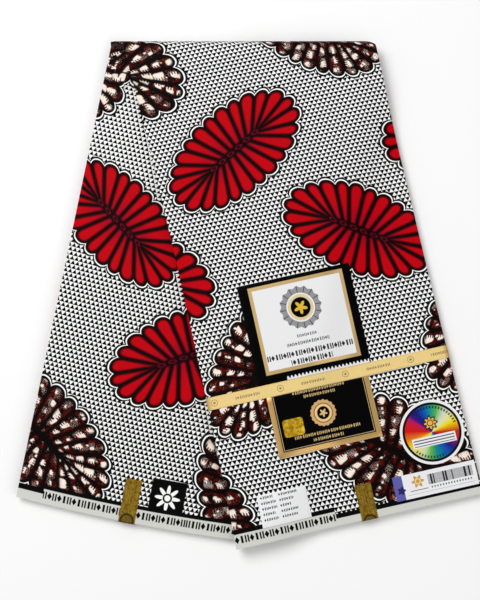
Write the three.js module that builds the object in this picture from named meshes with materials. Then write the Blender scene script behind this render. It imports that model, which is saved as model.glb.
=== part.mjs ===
// A full piece of African wax print cotton as it is sold: one long cloth pleated to and fro into a strip, the strip
// folded over once on a slant, and laid flat so that its two legs spread like the letter A. The front leg lies on the
// back leg and comes down to the table beyond the back leg's hidden edge. A ribbon goes round the front leg, two
// printed cards and three stickers lie on it, and a foil seal is folded over each hem.
//
// Millimetres, +Z up, +Y towards the fold, +X to the right. The origin is the middle of the footprint, on the table.

import * as THREE from 'three';

// Driving dimensions, in millimetres
const LAYER = 1.2; // wall of a layer of cloth that shows
const SEAM = 0.3; // clear space between two pieces that lie on each other
const FRONT_PACK = 10.2; // hidden layers of the front leg
const BACK_PACK = 8.7; // hidden layers of the back leg
const FOLD_Y = 298; // where the legs stop being flat and the fold starts
const FOLD_REACH = 9; // how far the fold bulges past that line
const INNER_REACH = 1.2; // the same for the tight turn inside the fold
const STEP_START = 12; // the front leg runs on level this far past the back leg's edge
const STEP_WIDTH = 60; // and comes down to the table over this width
const LIFTED_FROM_Y = 190; // above this line the fold holds the front leg up
const SQUARE_UP_TO = 475; // up to here the rows of the cloth run parallel to the hem
const FOLD_LEAN = 0.6; // share of the half turn over which the fold moves sideways
const CARD = 0.8; // cards, stickers, ribbon and seals

// Each leg: its hem corners, the ends of its fold line, how far its edges bow to the right and its hem bows down
const LEGS = {
  front: {
    hemLeft: [-15.8, -307],
    hemRight: [278, -241.6],
    foldLeft: -153.4,
    foldRight: 154.1,
    bowLeft: 4.9,
    bowRight: -1.8,
    hemSag: 0,
  },
  back: {
    hemLeft: [-278, -245.9],
    hemRight: [10, -300],
    foldLeft: -170.7,
    foldRight: 134.5,
    bowLeft: 0,
    bowRight: 0,
    hemSag: 5,
  },
};

// The cloth is worked out on a lattice. COLUMNS are millimetres across the strip from its left edge, and the rows are
// millimetres up from a hem. The cards' edges are among them, so a card is made from the points of the cloth below it.
const STRIP_WIDTH = 300;
const COLUMNS = [0, 17, 35, 50, 65, 71, 95, 117, 139, 161, 184, 199, 206, 228, 252, 276, STRIP_WIDTH];
const FRONT_ROWS = [0, 17, 36, 56, 92, 129, 166, 181, 221, 262, 303, 345, 390, 435, 475, 512, 545, 582, 620];
const BACK_ROWS = [0, 90, 190, 290, 390, 475, 514, 554];
const FOLD_ROWS = 8;

// The hidden layers show as ridges along every edge
const RIDGES = 18;
const GROOVE = 1.4; // depth between two ridges
const RIDGE_PLAY = 0.8; // how unevenly the ridges stop at the side edges
const HEM_INSET = 0.8; // the hidden hems lie this far inside the one that shows
const HEM_PLAY = 2.2; // how unevenly they stop

// What lies on the front leg, in millimetres across it and up from its hem
const UPPER_CARD = { left: 65, right: 206, low: 181, high: 303 };
const LOWER_CARD = { left: 71, right: 199, low: 92, high: 166 };
const INFO_STICKER = { left: 35, right: 95, low: 17, high: 56 };
const RIBBON = { left: 0, right: STRIP_WIDTH, low: 166, high: 181 };
const PATCH_INSET = 0.25; // a card stops this far inside its lattice lines
const BAR_STICKER = { left: 198.3, right: 298.5, low: 12, high: 41 };
const ROUND_STICKER = { across: 257.6, up: 83.7, radius: 38.5 };
const FRONT_SEAL = { leg: 'front', left: 152.6, right: 172.2, high: 42.4 };
const BACK_SEAL = { leg: 'back', left: 124.7, right: 144.4, high: 46.5 };
const SEAL_PAST_HEM = 1.2; // a seal turns down this far outside the hem
const SEAL_CLEAR = 0.6; // and stops this far above the table
const STICKER_RINGS = 3;
const STICKER_SIDES = 48;

const BACK_TOP = LAYER + SEAM + BACK_PACK + SEAM + LAYER;
const FRONT_LIFT = BACK_TOP + SEAM; // underside of the front leg where it lies on the back leg
const LEG_HEIGHT = FRONT_PACK + SEAM + LAYER;

const mix = (a, b, t) => a + (b - a) * t;
const smooth = (t) => {
  const c = THREE.MathUtils.clamp(t, 0, 1);
  return c * c * (3 - 2 * c);
};

// The same uneven number from 0 to 1 for the same ridge on every run
const uneven = (n) => {
  const s = Math.sin(n * 12.9898) * 43758.5453;
  return s - Math.floor(s);
};

// A leg's hem corner, its direction across the hem and the direction up the leg
function legFrame(leg) {
  const origin = new THREE.Vector2(...leg.hemLeft);
  const across = new THREE.Vector2(...leg.hemRight).sub(origin).normalize();
  return { origin, across, up: new THREE.Vector2(-across.y, across.x) };
}

// A point of a leg's side edge, a distance up from the hem
function edgePoint(leg, side, up) {
  const hem = new THREE.Vector2(...(side === 'left' ? leg.hemLeft : leg.hemRight));
  const fold = new THREE.Vector2(side === 'left' ? leg.foldLeft : leg.foldRight, FOLD_Y);
  const t = up / hem.distanceTo(fold);
  const bow = (side === 'left' ? leg.bowLeft : leg.bowRight) * 4 * t * (1 - t);
  return hem.lerp(fold, t).addScaledVector(legFrame(leg).across, bow);
}

// How far up a side edge a row meets it: rows run square to the leg, and then fan out to the slanting fold line
function rowOnEdge(leg, side, row, lastRow) {
  if (row <= SQUARE_UP_TO) return row;
  const hem = new THREE.Vector2(...(side === 'left' ? leg.hemLeft : leg.hemRight));
  const length = hem.distanceTo(new THREE.Vector2(side === 'left' ? leg.foldLeft : leg.foldRight, FOLD_Y));
  return mix(SQUARE_UP_TO, length, (row - SQUARE_UP_TO) / (lastRow - SQUARE_UP_TO));
}

// Where a leg's lattice point lies on the table. Share is 0 at the left edge and 1 at the right one.
function legPlace(name, share, row) {
  const leg = LEGS[name];
  const lastRow = (name === 'front' ? FRONT_ROWS : BACK_ROWS).at(-1);
  const left = edgePoint(leg, 'left', rowOnEdge(leg, 'left', row, lastRow));
  const right = edgePoint(leg, 'right', rowOnEdge(leg, 'right', row, lastRow));
  const sag = leg.hemSag * 4 * share * (1 - share) * Math.max(0, 1 - row / SQUARE_UP_TO);
  return left.lerp(right, share).addScaledVector(legFrame(leg).up, -sag);
}

// Underside of the front leg: on the back leg, then down to the table, and held up again by the fold
function frontFloor(x, y) {
  const back = LEGS.back;
  const t = (y - back.hemRight[1]) / (FOLD_Y - back.hemRight[1]);
  const past = x - mix(back.hemRight[0], back.foldRight, t) - STEP_START;
  const down = smooth(past / STEP_WIDTH) * (1 - smooth((y - LIFTED_FROM_Y) / (FOLD_Y - LIFTED_FROM_Y)));
  return FRONT_LIFT * (1 - down);
}

// The rows of a wall that runs up the front leg, round the fold and down the back leg
const RUN = [
  ...FRONT_ROWS.map((row) => ({ part: 'front', row })),
  ...Array.from({ length: FOLD_ROWS - 1 }, (_, n) => ({ part: 'fold', turn: ((n + 1) / FOLD_ROWS) * Math.PI })),
  ...BACK_ROWS.toReversed().map((row) => ({ part: 'back', row })),
];

// A point of the folded cloth. The profile gives the cloth's inner and outer height in each part, and depth goes from
// 0 at the inner face to 1 at the outer one.
function foldedPoint(profile, share, at, depth) {
  const level = (pair) => mix(pair[0], pair[1], depth);
  if (at.part === 'fold') {
    const lean = smooth(at.turn / (FOLD_LEAN * Math.PI));
    const x = (front, back) => mix(front, back, lean);
    const left = x(LEGS.front.foldLeft, LEGS.back.foldLeft);
    const right = x(LEGS.front.foldRight, LEGS.back.foldRight);
    return new THREE.Vector3(
      mix(left, right, share),
      FOLD_Y + level(profile.reach) * Math.sin(at.turn),
      level(profile.centre) + level(profile.rise) * Math.cos(at.turn),
    );
  }
  const place = legPlace(at.part, share, at.row);
  const z = at.part === 'front' ? frontFloor(place.x, place.y) + level(profile.front) : level(profile.back);
  return new THREE.Vector3(place.x, place.y, z);
}

// The profile of a layer between two depths of the stack, worked out from where it starts on each leg
function profileOf(front, back, reach) {
  const top = front.map((z) => FRONT_LIFT + z);
  return {
    front,
    back,
    reach,
    rise: top.map((z, n) => (z - back[n]) / 2),
    centre: top.map((z, n) => (z + back[n]) / 2),
  };
}
const OUTER_PROFILE = profileOf([FRONT_PACK + SEAM, LEG_HEIGHT], [LAYER, 0], [FOLD_REACH - LAYER, FOLD_REACH]);
const PACK_PROFILE = profileOf(
  [0, FRONT_PACK],
  [LAYER + SEAM + BACK_PACK, LAYER + SEAM],
  [INNER_REACH, FOLD_REACH - LAYER - SEAM],
);

// A closed body on a lattice of nu by nv by nw cells. Both broad sides are split along the same diagonals, so that
// bodies on the same lattice lie parallel to each other. Place gives the point at lattice numbers i, j and k.
function latticeBody(nu, nv, nw, place) {
  const numbers = new Map();
  const points = [];
  const faces = [];
  const vertex = (i, j, k) => {
    const key = (i * (nv + 1) + j) * (nw + 1) + k;
    if (!numbers.has(key)) {
      numbers.set(key, points.length / 3);
      points.push(...place(i, j, k).toArray());
    }
    return numbers.get(key);
  };
  const quad = (a, b, c, d) => faces.push(a, b, c, a, c, d);
  for (let i = 0; i < nu; i++) {
    for (let j = 0; j < nv; j++) {
      quad(vertex(i, j, nw), vertex(i + 1, j, nw), vertex(i + 1, j + 1, nw), vertex(i, j + 1, nw));
      quad(vertex(i, j, 0), vertex(i, j + 1, 0), vertex(i + 1, j + 1, 0), vertex(i + 1, j, 0));
    }
    for (let k = 0; k < nw; k++) {
      quad(vertex(i, 0, k), vertex(i + 1, 0, k), vertex(i + 1, 0, k + 1), vertex(i, 0, k + 1));
      quad(vertex(i, nv, k), vertex(i, nv, k + 1), vertex(i + 1, nv, k + 1), vertex(i + 1, nv, k));
    }
  }
  for (let j = 0; j < nv; j++) {
    for (let k = 0; k < nw; k++) {
      quad(vertex(0, j, k), vertex(0, j, k + 1), vertex(0, j + 1, k + 1), vertex(0, j + 1, k));
      quad(vertex(nu, j, k), vertex(nu, j + 1, k), vertex(nu, j + 1, k + 1), vertex(nu, j, k + 1));
    }
  }
  const geometry = new THREE.BufferGeometry();
  geometry.setAttribute('position', new THREE.Float32BufferAttribute(points, 3));
  geometry.setIndex(faces);
  geometry.computeVertexNormals();
  return geometry;
}

// The outermost layer: over the front leg, round the fold and under the back leg
function outerLayer() {
  return latticeBody(COLUMNS.length - 1, RUN.length - 1, 1, (i, j, k) =>
    foldedPoint(OUTER_PROFILE, COLUMNS[i] / STRIP_WIDTH, RUN[j], k));
}

// How far the edge of the hidden layers stops inside the strip's edge, at each of their levels
const levels = 2 * RIDGES;
const ridgeInset = (k, play, seed) => (k % 2 === 0 ? GROOVE + play * 0.5 : play * uneven(k + seed));

// All hidden layers of both legs as one rounded body, with their folds and hems as ridges along its edges
function innerLayers() {
  const lastColumn = COLUMNS.length - 1;
  const lastRow = RUN.length - 1;
  return latticeBody(lastColumn, lastRow, levels, (i, j, k) => {
    const share = COLUMNS[i] / STRIP_WIDTH;
    const point = foldedPoint(PACK_PROFILE, share, RUN[j], k / levels);
    const part = RUN[j].part;
    const frame = legFrame(LEGS[part === 'fold' ? 'front' : part]);
    const side = i === 0 ? 1 : i === lastColumn ? -1 : 0;
    const across = side * ridgeInset(k, RIDGE_PLAY, side * 7);
    const atHem = j === 0 || j === lastRow;
    const up = atHem ? HEM_INSET + ridgeInset(k, HEM_PLAY, j + 3) : 0;
    const sideways = part === 'fold' ? new THREE.Vector2(1, 0) : frame.across;
    const move = sideways.clone().multiplyScalar(across).addScaledVector(frame.up, up);
    return point.add(new THREE.Vector3(move.x, move.y, 0));
  });
}

// The innermost layer, which is what shows of the back leg: it lies on the hidden layers and runs under the front leg
const BACK_LAYER_SHARES = [0, 0.12, 0.25, 0.4, 0.55, 0.7, 0.85, 1];
const BACK_LAYER_STOP = 3; // it stops this far short of the turn inside the fold
function backTopLayer() {
  const low = LAYER + 2 * SEAM + BACK_PACK;
  return latticeBody(BACK_LAYER_SHARES.length - 1, BACK_ROWS.length - 1, 1, (i, j, k) => {
    const place = legPlace('back', BACK_LAYER_SHARES[i], BACK_ROWS[j]);
    const y = j === BACK_ROWS.length - 1 ? place.y - BACK_LAYER_STOP : place.y;
    return new THREE.Vector3(place.x, y, low + LAYER * k);
  });
}

// A point lifted off the front leg's top, at a place across and up the strip
function onFront(across, up, lift) {
  const place = legPlace('front', across / STRIP_WIDTH, up);
  return new THREE.Vector3(place.x, place.y, frontFloor(place.x, place.y) + LEG_HEIGHT + lift);
}

// A card that follows the cloth below it, made from the cloth's lattice points moved out
function patch({ left, right, low, high }) {
  const columns = COLUMNS.filter((c) => c >= left && c <= right);
  const rows = FRONT_ROWS.filter((r) => r >= low && r <= high);
  const { across, up } = legFrame(LEGS.front);
  const inwards = (n, last) => (n === 0 ? PATCH_INSET : n === last ? -PATCH_INSET : 0);
  return latticeBody(columns.length - 1, rows.length - 1, 1, (i, j, k) => {
    const point = onFront(columns[i], rows[j], SEAM + CARD * k);
    const move = across.clone().multiplyScalar(inwards(i, columns.length - 1))
      .addScaledVector(up, inwards(j, rows.length - 1));
    return point.add(new THREE.Vector3(move.x, move.y, 0));
  });
}

// A flat sticker where the front leg lies flat on the table, by its places across and up the leg
function legPoint(name, across, up, z) {
  const frame = legFrame(LEGS[name]);
  const place = frame.origin.clone().addScaledVector(frame.across, across).addScaledVector(frame.up, up);
  return new THREE.Vector3(place.x, place.y, z);
}
function flatSticker({ left, right, low, high }) {
  return latticeBody(1, 1, 1, (i, j, k) =>
    legPoint('front', i ? right : left, j ? high : low, LEG_HEIGHT + SEAM + CARD * k));
}

// A round sticker: a disc turned from its profile, with a few rings so that its top stays even
function roundSticker({ across, up, radius }) {
  const ring = (n) => (radius * n) / STICKER_RINGS;
  const rings = Array.from({ length: STICKER_RINGS + 1 }, (_, n) => n);
  const bottom = rings.map((n) => new THREE.Vector2(ring(n), 0));
  const top = rings.toReversed().map((n) => new THREE.Vector2(ring(n), CARD));
  const disc = new THREE.LatheGeometry([...bottom, ...top], STICKER_SIDES);
  disc.rotateX(Math.PI / 2);
  const centre = legPoint('front', across, up, LEG_HEIGHT + SEAM);
  disc.translate(centre.x, centre.y, centre.z);
  return disc;
}

// The ribbon: over the front leg from edge to edge, and down both sides of it
function ribbon() {
  const last = COLUMNS.length + 1;
  const { across } = legFrame(LEGS.front);
  return latticeBody(last, 1, 1, (i, j, k) => {
    const column = COLUMNS[THREE.MathUtils.clamp(i - 1, 0, COLUMNS.length - 1)];
    const point = onFront(column, j ? RIBBON.high : RIBBON.low, SEAM + CARD * k);
    const outside = i <= 1 ? -1 : i >= last - 1 ? 1 : 0;
    const reach = outside * (SEAM + CARD * k);
    point.add(new THREE.Vector3(across.x * reach, across.y * reach, 0));
    if (i === 0 || i === last) point.z = frontFloor(point.x, point.y) + SEAM;
    return point;
  });
}

// A foil seal: a strip on the leg's top that turns down over the hem
function seal({ leg, left, right, high }) {
  const top = leg === 'front' ? LEG_HEIGHT : BACK_TOP;
  const past = LEGS[leg].hemSag + SEAL_PAST_HEM;
  const profile = [
    { up: high, z: top + SEAM, out: 0, rise: CARD },
    { up: -past, z: top + SEAM, out: CARD, rise: CARD },
    { up: -past, z: SEAL_CLEAR, out: CARD, rise: 0 },
  ];
  return latticeBody(1, profile.length - 1, 1, (i, j, k) => {
    const step = profile[profile.length - 1 - j];
    return legPoint(leg, i ? right : left, step.up - step.out * k, step.z + step.rise * k);
  });
}

const FINISHES = {
  cloth: new THREE.MeshStandardMaterial({ color: 0xd9d4cf, roughness: 0.62, metalness: 0 }),
  hems: new THREE.MeshStandardMaterial({ color: 0xb8a9a0, roughness: 0.85, metalness: 0 }),
  card: new THREE.MeshStandardMaterial({ color: 0x141210, roughness: 0.4, metalness: 0 }),
  paper: new THREE.MeshStandardMaterial({ color: 0xf2f0ee, roughness: 0.5, metalness: 0 }),
  satin: new THREE.MeshStandardMaterial({ color: 0xe4c57a, roughness: 0.35, metalness: 0.3 }),
  foil: new THREE.MeshStandardMaterial({ color: 0x8f7326, roughness: 0.35, metalness: 0.9 }),
};

const PIECES = [
  ['outer_layer', outerLayer(), FINISHES.cloth],
  ['inner_layers', innerLayers(), FINISHES.hems],
  ['back_top_layer', backTopLayer(), FINISHES.cloth],
  ['ribbon', ribbon(), FINISHES.satin],
  ['upper_card', patch(UPPER_CARD), FINISHES.card],
  ['lower_card', patch(LOWER_CARD), FINISHES.card],
  ['info_sticker', patch(INFO_STICKER), FINISHES.paper],
  ['bar_sticker', flatSticker(BAR_STICKER), FINISHES.paper],
  ['round_sticker', roundSticker(ROUND_STICKER), FINISHES.paper],
  ['front_seal', seal(FRONT_SEAL), FINISHES.foil],
  ['back_seal', seal(BACK_SEAL), FINISHES.foil],
];

const group = new THREE.Group();
for (const [name, geometry, material] of PIECES) {
  const mesh = new THREE.Mesh(geometry, material);
  mesh.name = name;
  group.add(mesh);
}

export default group;
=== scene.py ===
# %% [markdown]
# # A full piece of wax print cotton, folded for sale
# Twelve yards of printed cotton are pleated to and fro into a strip 300 mm wide, about 36 layers deep. The
# strip is then folded over once, on a slant, so that its two legs spread like the letter A. A ribbon goes
# round the front leg, cards and stickers lie on it, and a foil seal is folded over each hem.
#
# The imported solids are the frame: they give the size and place of every piece, and this lesson dresses each
# of them in finer form and finish. First they are loaded.

# %% Load the frame
import math
from functools import partialmethod

import bmesh
import bpy
import numpy as np
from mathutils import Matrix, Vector


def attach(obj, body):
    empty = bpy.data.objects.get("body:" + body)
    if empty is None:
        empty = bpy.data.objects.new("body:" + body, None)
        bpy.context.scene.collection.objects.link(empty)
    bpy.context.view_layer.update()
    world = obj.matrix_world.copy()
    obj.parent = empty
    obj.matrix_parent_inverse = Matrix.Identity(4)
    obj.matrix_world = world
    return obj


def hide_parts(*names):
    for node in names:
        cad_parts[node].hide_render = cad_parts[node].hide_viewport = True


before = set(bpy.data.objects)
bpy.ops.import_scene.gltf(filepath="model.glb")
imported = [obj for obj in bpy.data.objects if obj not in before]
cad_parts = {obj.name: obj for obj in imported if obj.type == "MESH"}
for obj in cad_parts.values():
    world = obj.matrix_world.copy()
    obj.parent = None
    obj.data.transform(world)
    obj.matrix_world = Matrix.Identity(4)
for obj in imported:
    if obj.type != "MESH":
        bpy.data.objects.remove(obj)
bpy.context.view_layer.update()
print("solids:", sorted(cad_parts))

# %% [markdown]
# ## The folded strip as a formula
# Every piece here lies on the same folded strip, so the strip is described once, in millimetres. A leg is a
# hem, two side edges and a share of the slanting fold line. A place on it is given by how far it is across
# the strip and how far up from the hem. Working in these two numbers keeps the print, the cards and the
# layers in step with each other, which placing each of them by hand in X, Y and Z wouldn't.

# %% Sizes of the two legs and the fold
MM = 0.001
STRIP = 300.0  # width of the strip
FOLD_Y = 298.0  # where the legs end and the round of the fold starts
FOLD_ARC = 30.0  # length of strip in the round of the fold
FOLD_LEAN = 0.6  # share of that round in which its ends move over
SQUARE_UP_TO = 475.0  # rows up to here lie square to the leg
LEG_HEIGHT = 11.7
FRONT_LIFT = 12.0  # height of the front leg's underside where it lies on the back leg
STEP_START = 12.0  # how far past the back leg's edge the front leg starts to come down
STEP_WIDTH = 60.0
LIFTED_FROM_Y = 190.0  # from here to the fold, the fold holds it up
LEGS = {
    "front": {
        "hem": {"left": (-15.8, -307.0), "right": (278.0, -241.6)},
        "fold": {"left": -153.4, "right": 154.1},
        "bow": {"left": 4.9, "right": -1.8},
        "sag": 0.0,
        "rows": 620.0,
    },
    "back": {
        "hem": {"left": (-278.0, -245.9), "right": (10.0, -300.0)},
        "fold": {"left": -170.7, "right": 134.5},
        "bow": {"left": 0.0, "right": 0.0},
        "sag": 5.0,
        "rows": 554.0,
    },
}
FRONT_ROWS = LEGS["front"]["rows"]
BACK_ROWS = LEGS["back"]["rows"]
FOLD_MIDDLE = FRONT_ROWS + FOLD_ARC / 2
FOLD_END = FRONT_ROWS + FOLD_ARC
RUN = FOLD_END + BACK_ROWS
print(f"the strip runs {RUN:.0f} mm from hem to hem")


# %% Places on a leg
def smooth(t):
    """A soft step from 0 to 1"""
    t = np.clip(t, 0, 1)
    return t * t * (3 - 2 * t)


def leg_frame(name):
    """A leg's left hem corner, its direction across and its direction up"""
    corner = np.array(LEGS[name]["hem"]["left"])
    across = np.array(LEGS[name]["hem"]["right"]) - corner
    across /= np.linalg.norm(across)
    return corner, across, np.array((-across[1], across[0]))


def edge_place(name, side, row):
    """Where a row meets a side edge: square to the leg low down, and fanned out to the fold line above"""
    leg = LEGS[name]
    hem = np.array(leg["hem"][side])
    fold = np.array((leg["fold"][side], FOLD_Y))
    length = np.linalg.norm(fold - hem)
    fan = (row - SQUARE_UP_TO) / (leg["rows"] - SQUARE_UP_TO)
    up = np.where(row <= SQUARE_UP_TO, row, SQUARE_UP_TO + (length - SQUARE_UP_TO) * fan)
    t = (up / length)[:, None]
    return hem + (fold - hem) * t + leg["bow"][side] * 4 * t * (1 - t) * leg_frame(name)[1]


def square_place(name, across, up):
    """X and Y of places given square to a leg's hem"""
    corner, across_way, up_way = leg_frame(name)
    return corner + across[:, None] * across_way + up[:, None] * up_way


def flat_place(name, across, row):
    """X and Y of places across and up a leg, before its hem sags"""
    left = edge_place(name, "left", row)
    right = edge_place(name, "right", row)
    return left + (right - left) * (across / STRIP)[:, None]


def cloth_place(name, across, row):
    """Where places on a leg lie on its print, measured square to the hem"""
    corner, across_way, up_way = leg_frame(name)
    flat = flat_place(name, across, row) - corner
    return np.column_stack((flat @ across_way, flat @ up_way))


def leg_place(name, across, row):
    """X and Y of places across and up a leg"""
    share = across / STRIP
    sag = LEGS[name]["sag"] * 4 * share * (1 - share) * np.maximum(0, 1 - row / SQUARE_UP_TO)
    return flat_place(name, across, row) - leg_frame(name)[2] * sag[:, None]


def front_floor(x, y):
    """Underside of the front leg: on the back leg, down to the table beside it, and held up by the fold"""
    back = LEGS["back"]
    hem_x, hem_y = back["hem"]["right"]
    t = (y - hem_y) / (FOLD_Y - hem_y)
    past = x - (hem_x + (back["fold"]["right"] - hem_x) * t) - STEP_START
    down = smooth(past / STEP_WIDTH) * (1 - smooth((y - LIFTED_FROM_Y) / (FOLD_Y - LIFTED_FROM_Y)))
    return FRONT_LIFT * (1 - down)


# %% [markdown]
# The cloth is pressed, yet no hand-folded stack is dead flat. A few long waves of a quarter of a millimetre
# are added to every top face, the same for the cloth and for what lies on it, so that nothing sinks in or
# floats.

# %% Long soft waves in the pressed cloth: height, turns along X and Y, and start
WAVES = (
    (0.12, 0.043, 0.021, 0.4),
    (0.09, -0.031, 0.052, 2.1),
    (0.07, 0.088, -0.013, 4.0),
    (0.05, 0.02, 0.115, 1.2),
)
WAVES_FADE = 60.0
OPEN_FROM = 90.0
OPEN_SLANT = 0.2
OPEN_FADE = 40.0


def ripple(x, y):
    """Height of the soft waves at X and Y"""
    return sum(size * np.sin(turn_x * x + turn_y * y + start) for size, turn_x, turn_y, start in WAVES)


def waved_front(run):
    """1 up the front leg, fading to 0 at the fold"""
    return 1 - smooth((run - FRONT_ROWS + WAVES_FADE) / WAVES_FADE)


def open_back(x, y):
    """1 where the back leg shows, fading to 0 under the front leg"""
    return smooth((-x - OPEN_FROM - y * OPEN_SLANT) / OPEN_FADE)


# %% [markdown]
# The outer layer and the hidden layers run from hem to hem: up the front leg, half round the fold, and down
# the back leg. One formula bends them all, each at its own depth.

# %% Round the fold


def fold_place(profile, across, run, depth):
    """Points of a layer that runs up the front leg, round the fold and down the back leg"""
    front, back, reach = (profile[key][0] + (profile[key][1] - profile[key][0]) * depth for key in
                          ("front", "back", "reach"))
    place = leg_place("front", across, np.clip(run, 0, FRONT_ROWS))
    floor = front_floor(place[:, 0], place[:, 1])
    points = np.column_stack((place, floor + front))
    turn = np.clip((run - FRONT_ROWS) / FOLD_ARC, 0, 1) * np.pi
    lean = smooth(turn / (FOLD_LEAN * np.pi))
    ends = {side: LEGS["front"]["fold"][side] * (1 - lean) + LEGS["back"]["fold"][side] * lean
            for side in ("left", "right")}
    top = FRONT_LIFT + front
    arc = np.column_stack((
        ends["left"] + (ends["right"] - ends["left"]) * across / STRIP,
        FOLD_Y + reach * np.sin(turn),
        (top + back) / 2 + (top - back) / 2 * np.cos(turn),
    ))
    place = leg_place("back", across, np.clip(RUN - run, 0, BACK_ROWS))
    under = np.column_stack((place, back))
    points = np.where((run > FRONT_ROWS)[:, None], arc, points)
    return np.where((run > FOLD_END)[:, None], under, points)


# %% [markdown]
# ## One way to make every flat piece
# A layer, a card or a ribbon is a thin block that follows a curved place. The block starts as a cube. Its
# edges are cut by Subdivide, one direction at a time, which leaves an even lattice all over its faces. Then
# each point is put in its place by the formulas above. A grid with Solidify would do for the thin ones, but
# the stack of hidden layers needs points through its depth too, so all of them are made this one way.

# %% A cube cut into a lattice
MOST_CUTS = 100
STRAIGHT = 1e-5


def read_points(piece):
    """A piece's points, as rows of X, Y and Z"""
    co = np.empty(len(piece.data.vertices) * 3)
    piece.data.vertices.foreach_get("co", co)
    return co.reshape(-1, 3)


def cut_block(name, counts):
    """A cube cut into counts of cells along X, Y and Z, and the lattice numbers of its points"""
    bpy.ops.object.select_all(action="DESELECT")
    bpy.ops.mesh.primitive_cube_add(size=1, calc_uvs=False)
    block = bpy.context.object
    block.name = block.data.name = name
    bpy.ops.object.mode_set(mode="EDIT")
    bpy.ops.mesh.select_mode(type="EDGE")
    for axis, count in enumerate(counts):
        while count > 1:
            parts = max(n for n in range(1, MOST_CUTS) if count % n == 0)
            bpy.ops.mesh.select_all(action="DESELECT")
            mesh = bmesh.from_edit_mesh(block.data)
            for edge in mesh.edges:
                step = edge.verts[0].co - edge.verts[1].co
                edge.select_set(abs(step[axis]) > STRAIGHT)
            bmesh.update_edit_mesh(block.data)
            bpy.ops.mesh.subdivide(number_cuts=parts - 1)
            count //= parts
    bpy.ops.object.mode_set(mode="OBJECT")
    numbers = np.rint((read_points(block) + 0.5) * np.array(counts)).astype(int)
    return block, numbers


# %% Points, UV maps and shading


def place_points(piece, points):
    """Put a piece's points where they belong, given in millimetres"""
    piece.data.vertices.foreach_set("co", (points * MM).ravel())
    piece.data.update()


def corner_points(mesh):
    """The number of the point at each face corner"""
    corner = np.empty(len(mesh.loops), int)
    mesh.loops.foreach_get("vertex_index", corner)
    return corner


def corner_uv(mesh, name, values):
    """A UV map from a pair of numbers at each face corner"""
    layer = mesh.uv_layers.new(name=name)
    layer.uv.foreach_set("vector", values.ravel())


def point_uv(piece, name, values):
    """A UV map from a pair of numbers at each of a piece's points"""
    corner_uv(piece.data, name, values[corner_points(piece.data)])


def triangle_count(piece):
    """How many triangles a piece has"""
    return sum(len(face.vertices) - 2 for face in piece.data.polygons)


def soft_shade(piece, angle=40):
    """Shade a piece smooth where it bends by less than an angle in degrees, and say how large it is"""
    bpy.ops.object.select_all(action="DESELECT")
    piece.select_set(True)
    bpy.context.view_layer.objects.active = piece
    bpy.ops.object.shade_smooth_by_angle(angle=math.radians(angle))
    print(f"{piece.name}: {triangle_count(piece)} triangles")


# %% [markdown]
# ## Layers of cloth
# Real wax print is about 0.3 mm thick. The outer layer of the front leg, the round of the fold and the
# underside of the back leg are one stretch of cloth, so they are one piece here. Its columns are crowded at
# the side edges, where the cloth rolls down into the next pleat.

# %% Columns and rows of a layer
CLOTH = 0.45
EDGE_COLUMNS = np.array((0.0, 0.3, 0.7, 1.2, 2.0, 3.4, 6.0))
EDGE_ROLL = 1.0
FOLD_STEPS = 13


def strip_columns(step):
    """Places across the strip, crowded at both edges"""
    inner = np.linspace(EDGE_COLUMNS[-1], STRIP - EDGE_COLUMNS[-1], int(STRIP / step))
    return np.concatenate((EDGE_COLUMNS[:-1], inner, STRIP - EDGE_COLUMNS[-2::-1]))


def strip_runs(front_steps, back_steps):
    """Places along the strip from hem to hem, crowded round the fold"""
    return np.concatenate((
        np.linspace(0, FRONT_ROWS, front_steps),
        np.linspace(FRONT_ROWS, FOLD_END, FOLD_STEPS)[1:],
        np.linspace(FOLD_END, RUN, back_steps)[1:],
    ))


def edge_drop(across):
    """How far a layer rolls down towards the next pleat near the strip's side edges"""
    near = np.clip(EDGE_ROLL - np.minimum(across, STRIP - across), 0, EDGE_ROLL)
    return EDGE_ROLL - np.sqrt(np.maximum(EDGE_ROLL ** 2 - near ** 2, 0))


def on_front(across, row, lift):
    """Points a little above the front leg's top"""
    place = leg_place("front", across, row)
    x, y = place.T
    return np.column_stack((place, front_floor(x, y) + LEG_HEIGHT + ripple(x, y) + lift))


# %% The outer layer, from hem to hem
FOLD_REACH = 9.0
OUTER = {
    "front": (LEG_HEIGHT - CLOTH, LEG_HEIGHT),
    "back": (CLOTH, 0.0),
    "reach": (FOLD_REACH - CLOTH, FOLD_REACH),
}
columns = strip_columns(step=5.0)
runs = strip_runs(front_steps=125, back_steps=75)
outer, numbers = cut_block("outer_cloth", (len(columns) - 1, len(runs) - 1, 1))
across, run, depth = columns[numbers[:, 0]], runs[numbers[:, 1]], numbers[:, 2]
points = fold_place(OUTER, across, run, depth)
points[:, 2] += waved_front(run) * ripple(points[:, 0], points[:, 1])
points[:, 2] -= (run <= FRONT_ROWS) * edge_drop(across)
place_points(outer, points)
soft_shade(outer)

# %% Cloth coordinates of the outer layer
outer_uv = cloth_place("front", across, np.clip(run, 0, FRONT_ROWS))
outer_uv[:, 1] += np.maximum(run - FRONT_ROWS, 0)
print(f"its print runs up to {outer_uv[:, 1].max():.0f} mm from the front hem")

# %% [markdown]
# The top of the back leg is the innermost layer of the stack. It runs on under the front leg, up to the tight
# turn inside the fold.

# %% The back leg's top layer
rows = np.linspace(0, BACK_ROWS, 112)
back, numbers = cut_block("back_cloth", (len(columns) - 1, len(rows) - 1, 1))
across, row, depth = columns[numbers[:, 0]], rows[numbers[:, 1]], numbers[:, 2]
place = leg_place("back", across, row)
height = LEG_HEIGHT - CLOTH * (1 - depth) + ripple(*place.T) * open_back(*place.T) - edge_drop(across)
place_points(back, np.column_stack((place, height)))
soft_shade(back)
back_uv = cloth_place("back", across, row)

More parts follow.
